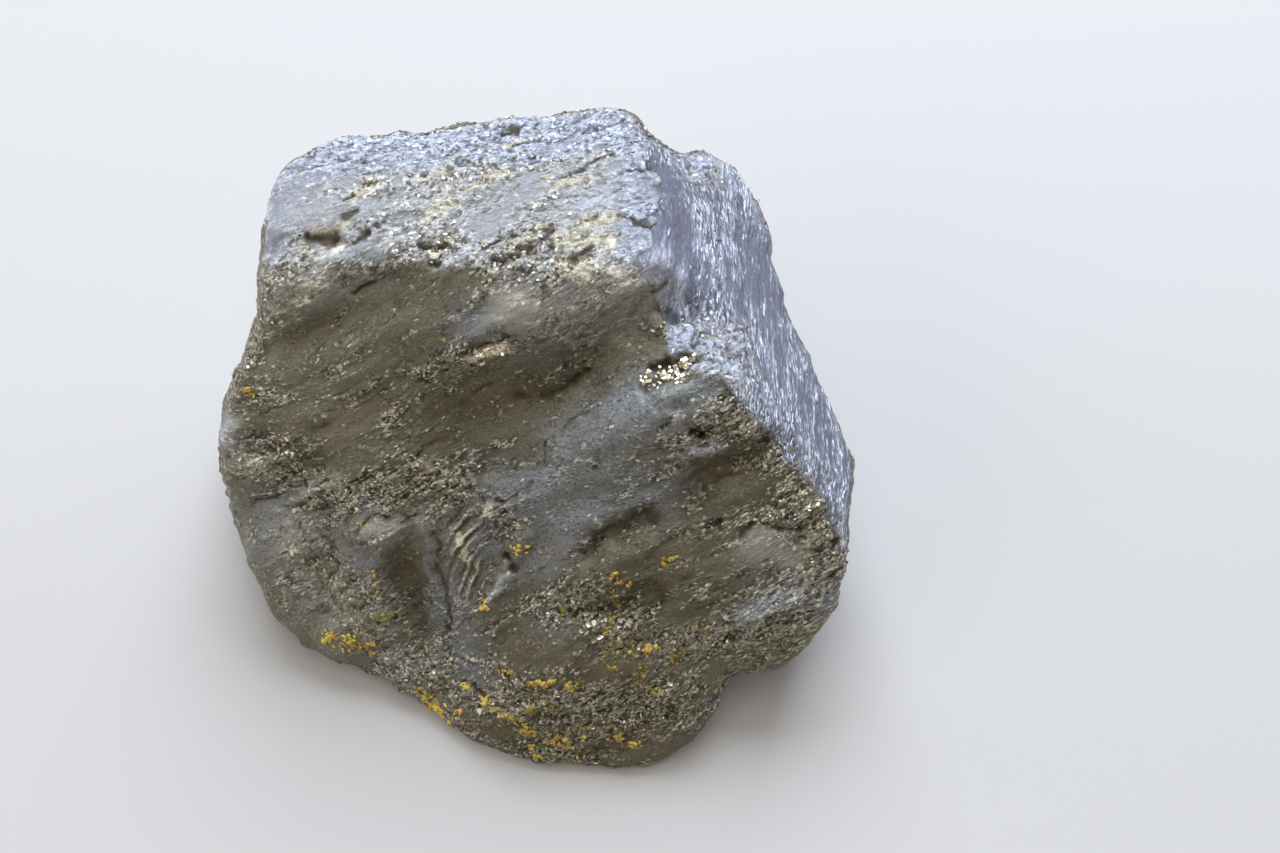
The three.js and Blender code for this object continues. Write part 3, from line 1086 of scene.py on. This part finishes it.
    def patched(self, colour):
        """Adds the cream patches, darker in the crumple's gaps as painted shade, and the lilac painted
        highlights.
        """
        warm = self.stored("warm")
        flecks = self.ramp(self.noise(self.place(), 1.2, 5, 0.7), 0.44, 0.56)
        cream = self.sum(self.product(warm, flecks), self.ramp(warm, 0.5, 0.9, 0, 0.7))
        gold = self.mix(self.ramp(self.crumple, 0.38, 0.53), CREAM_SHADE, WARM_WHITE)
        colour = self.mix(self.ramp(cream, 0, 1, 0, 0.85), colour, gold)
        # Lilac painted highlights.
        return self.mix(self.product(self.stored("lilac_highlight"), self.torn), colour, BLUE_HIGHLIGHT)

    def stained_and_shaded(self, colour):
        """Adds brown painted shade in the creases, black painted shade in their deepest nooks, ochre
        stain, and black painted shade in the hollows between the grains.
        """
        crease = self.stored("crease")
        # Painted shade: brown in the creases.
        colour = self.mix(self.ramp(crease, 0.1, 0.5, 0, 0.8), colour, BROWN_SHADE)
        # Painted shade: black in the deepest creases, away from the lit sides.
        nook_shade = self.product(self.ramp(crease, 0.35, 0.8), self.ramp(self.lit, 0.5, 0, 0, 0.9))
        colour = self.mix(nook_shade, colour, SHADE_BLACK)
        stain = self.product(self.product(self.stored("stain"), self.torn), 0.7)
        colour = self.mix(stain, colour, OCHRE_STAIN)
        open_grain = self.ramp(self.broken, 0, 0.7, 0.25, 1)
        # Painted shade: black in the hollows between the grains.
        hollow = self.product(self.ramp(self.stored("hollow"), 0.0, 0.12, 0, 0.55), open_grain)
        return self.mix(hollow, colour, SHADE_BLACK)

    def fibrous(self, colour):
        """Adds fibres, with a painted golden highlight on their crests and brown painted shade in the
        gaps between them.
        """
        fibre = self.stored("fibre")
        streaked = self.ramp(self.crumple, 0.38, 0.54, 0.25, 0.95)
        # Painted highlight: gold on the fibres' crests.
        colour = self.mix(self.product(self.ramp(fibre, 0.02, 0.2), streaked), colour, GOLD_FIBRE_HIGHLIGHT)
        # Painted shade: brown in the gaps between the fibres.
        return self.mix(self.ramp(fibre, 0.0, -0.18, 0, 0.85), colour, BROWN_SHADE)

    def roughness(self):
        """Each grain has a gloss of its own, and the satin is glossier in some bands."""
        grains = self.product(self.ramp(self.gloss, 0, 1, 0.36, 0.6), self.broken)
        sheen = self.sum(self.ramp(self.bands, 0.3, 0.7, 0.42, 0.5), self.product(self.lit, 0.12))
        return self.sum(grains, self.product(sheen, self.ramp(self.broken, 0, 1, 1, 0)))

    def normal(self):
        """Crumpled, mottled and finely streaked, with each speckle turned its own way."""
        normal = self.bump(self.product(self.crumple, self.sum(self.broken, 0.3)), 0.9)
        normal = self.bump(self.mottle, 0.12, normal)
        normal = self.bump(self.along_flow((0.06, 1, 1), 0.5, 3, 0.6), 0.02, normal)
        lean = self.sum(self.product(self.broken, 0.25), self.sum(self.product(self.glints, 0.7), 0.1))
        return self.tilted(normal, self.speckle, lean)

    def finished(self):
        colour = self.satin()
        for layer in (self.speckled, self.grained, self.patched, self.stained_and_shaded, self.fibrous):
            colour = layer(colour)
        self.put(self.surface["Base Color"], colour)
        self.put(self.surface["Roughness"], self.roughness())
        self.put(self.surface["Metallic"], self.ramp(self.stored("stain"), 0, 1, 0.88, 0.45))
        self.put(self.surface["Normal"], self.normal())
        return self.material


def flake_material():
    shade = Shade("graphite_flakes")
    tone = shade.stored("tone")
    warm = shade.mix(tone, (0.19, 0.17, 0.125, 1), (0.62, 0.56, 0.43, 1))
    scratches = shade.noise(shade.place(), 0.15, 3, 0.7)
    colour = shade.mix(shade.ramp(scratches, 0.45, 0.65, 0, 0.4), warm, (0.10, 0.095, 0.085, 1))
    shade.put(shade.surface["Base Color"], colour)
    shade.put(shade.surface["Metallic"], 0.85)
    shade.put(shade.surface["Roughness"], shade.ramp(tone, 0, 1, 0.5, 0.3))
    shade.put(shade.surface["Normal"], shade.bump(scratches, 0.03))
    return shade.material


def ochre_material():
    """Yellow, orange and olive iron ochre, dusty and pitted."""
    shade = Shade("ochre_crust")
    place = shade.place()
    tone = shade.stored("tone")
    yellow_orange = shade.mix(shade.ramp(tone, 0.15, 0.65), (0.80, 0.60, 0.11, 1), (0.52, 0.25, 0.03, 1))
    colour = shade.mix(shade.ramp(tone, 0.5, 0.8), yellow_orange, (0.27, 0.235, 0.05, 1))
    dust = shade.noise(place, 0.25, 4, 0.7)
    colour = shade.mix(shade.ramp(dust, 0.55, 0.75, 0, 0.6), colour, (0.76, 0.64, 0.26, 1))
    colour = shade.mix(shade.ramp(dust, 0.5, 0.38, 0, 0.8), colour, (0.10, 0.07, 0.015, 1))
    shade.put(shade.surface["Base Color"], colour)
    shade.put(shade.surface["Roughness"], shade.ramp(dust, 0.3, 0.7, 0.9, 0.55))
    shade.put(shade.surface["Normal"], shade.bump(dust, 0.12))
    return shade.material


def crystal_material():
    """Bright ivory and gold crystal faces, with faint growth lines."""
    shade = Shade("pale_crystals")
    place = shade.place()
    tone = shade.stored("tone")
    colour = shade.mix(tone, (0.98, 0.96, 0.92, 1), (0.94, 0.82, 0.56, 1))
    colour = shade.mix(shade.ramp(tone, 0.35, 0.1, 0, 0.8), colour, (0.40, 0.31, 0.16, 1))
    lines = shade.noise(shade.stretched(place, (1, 1, 6)), 0.5, 3, 0.6)
    colour = shade.mix(shade.ramp(lines, 0.5, 0.7, 0, 0.5), colour, (0.35, 0.27, 0.14, 1))
    shade.put(shade.surface["Base Color"], colour)
    shade.put(shade.surface["Metallic"], 0.55)
    shade.put(shade.surface["Roughness"], shade.ramp(lines, 0.3, 0.7, 0.18, 0.4))
    shade.put(shade.surface["Normal"], shade.bump(lines, 0.02))
    return shade.material


lump.data.materials.append(GraphiteShade().finished())
flakes.data.materials.append(flake_material())
ochre.data.materials.append(ochre_material())
pale.data.materials.append(crystal_material())
ochre.data.shade_smooth()

# ---------------------------------------------------------------- floor, light and camera


def plain_floor():
    size = 3.0
    corners = [(-size, -size, 0), (size, -size, 0), (size, size, 0), (-size, size, 0)]
    mesh = bpy.data.meshes.new("floor")
    mesh.from_pydata(corners, [], [(0, 1, 2, 3)])
    floor = link("floor", mesh)
    shade = Shade("pale_floor")
    shade.put(shade.surface["Base Color"], (0.52, 0.495, 0.465, 1))
    shade.put(shade.surface["Roughness"], 0.9)
    mesh.materials.append(shade.material)


def softbox(name, azimuth, rise, distance, size, power, colour):
    """A square lamp that faces the middle of the lump."""
    lamp = bpy.data.lights.new(name, "AREA")
    lamp.shape = "SQUARE"
    lamp.size = size
    lamp.energy = power
    lamp.color = colour
    box = link(name, lamp)
    away = Vector(facing(azimuth, rise))
    box.location = Vector(MIDDLE * MM) + away * distance
    box.rotation_euler = away.to_track_quat("Z", "Y").to_euler()


def lights():
    softbox("back_key", 85, 52, 0.9, 0.7, 14, (0.74, 0.84, 1.0))
    softbox("right_key", 30, 18, 0.8, 0.5, 1.8, (0.76, 0.82, 1.0))
    softbox("overhead", 270, 80, 0.9, 0.6, 2.3, (1.0, 0.98, 0.94))
    softbox("front_fill", 208, 30, 0.9, 0.6, 1.8, (1.0, 0.96, 0.88))
    softbox("left_rim", 165, 12, 0.8, 0.4, 1.8, (0.84, 0.88, 1.0))
    world = bpy.data.worlds.new("soft_room")
    world.use_nodes = True
    world.node_tree.nodes["Background"].inputs["Color"].default_value = (1.0, 0.97, 0.93, 1)
    world.node_tree.nodes["Background"].inputs["Strength"].default_value = 0.17
    bpy.context.scene.world = world
    bpy.context.scene.view_settings.view_transform = "Standard"


CAMERA_LENS = 40
CAMERA_DISTANCE = 218.8
AIM_RIGHT = 17.9
AIM_UP = 0.7


def camera():
    lens = bpy.data.cameras.new("camera")
    lens.lens = CAMERA_LENS
    lens.clip_start = 0.01
    eye = link("camera", lens)
    place = MIDDLE + SEEN_RIGHT * AIM_RIGHT + SEEN_UP * AIM_UP + SEEN * CAMERA_DISTANCE
    eye.location = place * MM
    eye.rotation_euler = (math.radians(90 - SEEN_RISE), 0, 0)
    bpy.context.scene.camera = eye


plain_floor()
lights()
camera()
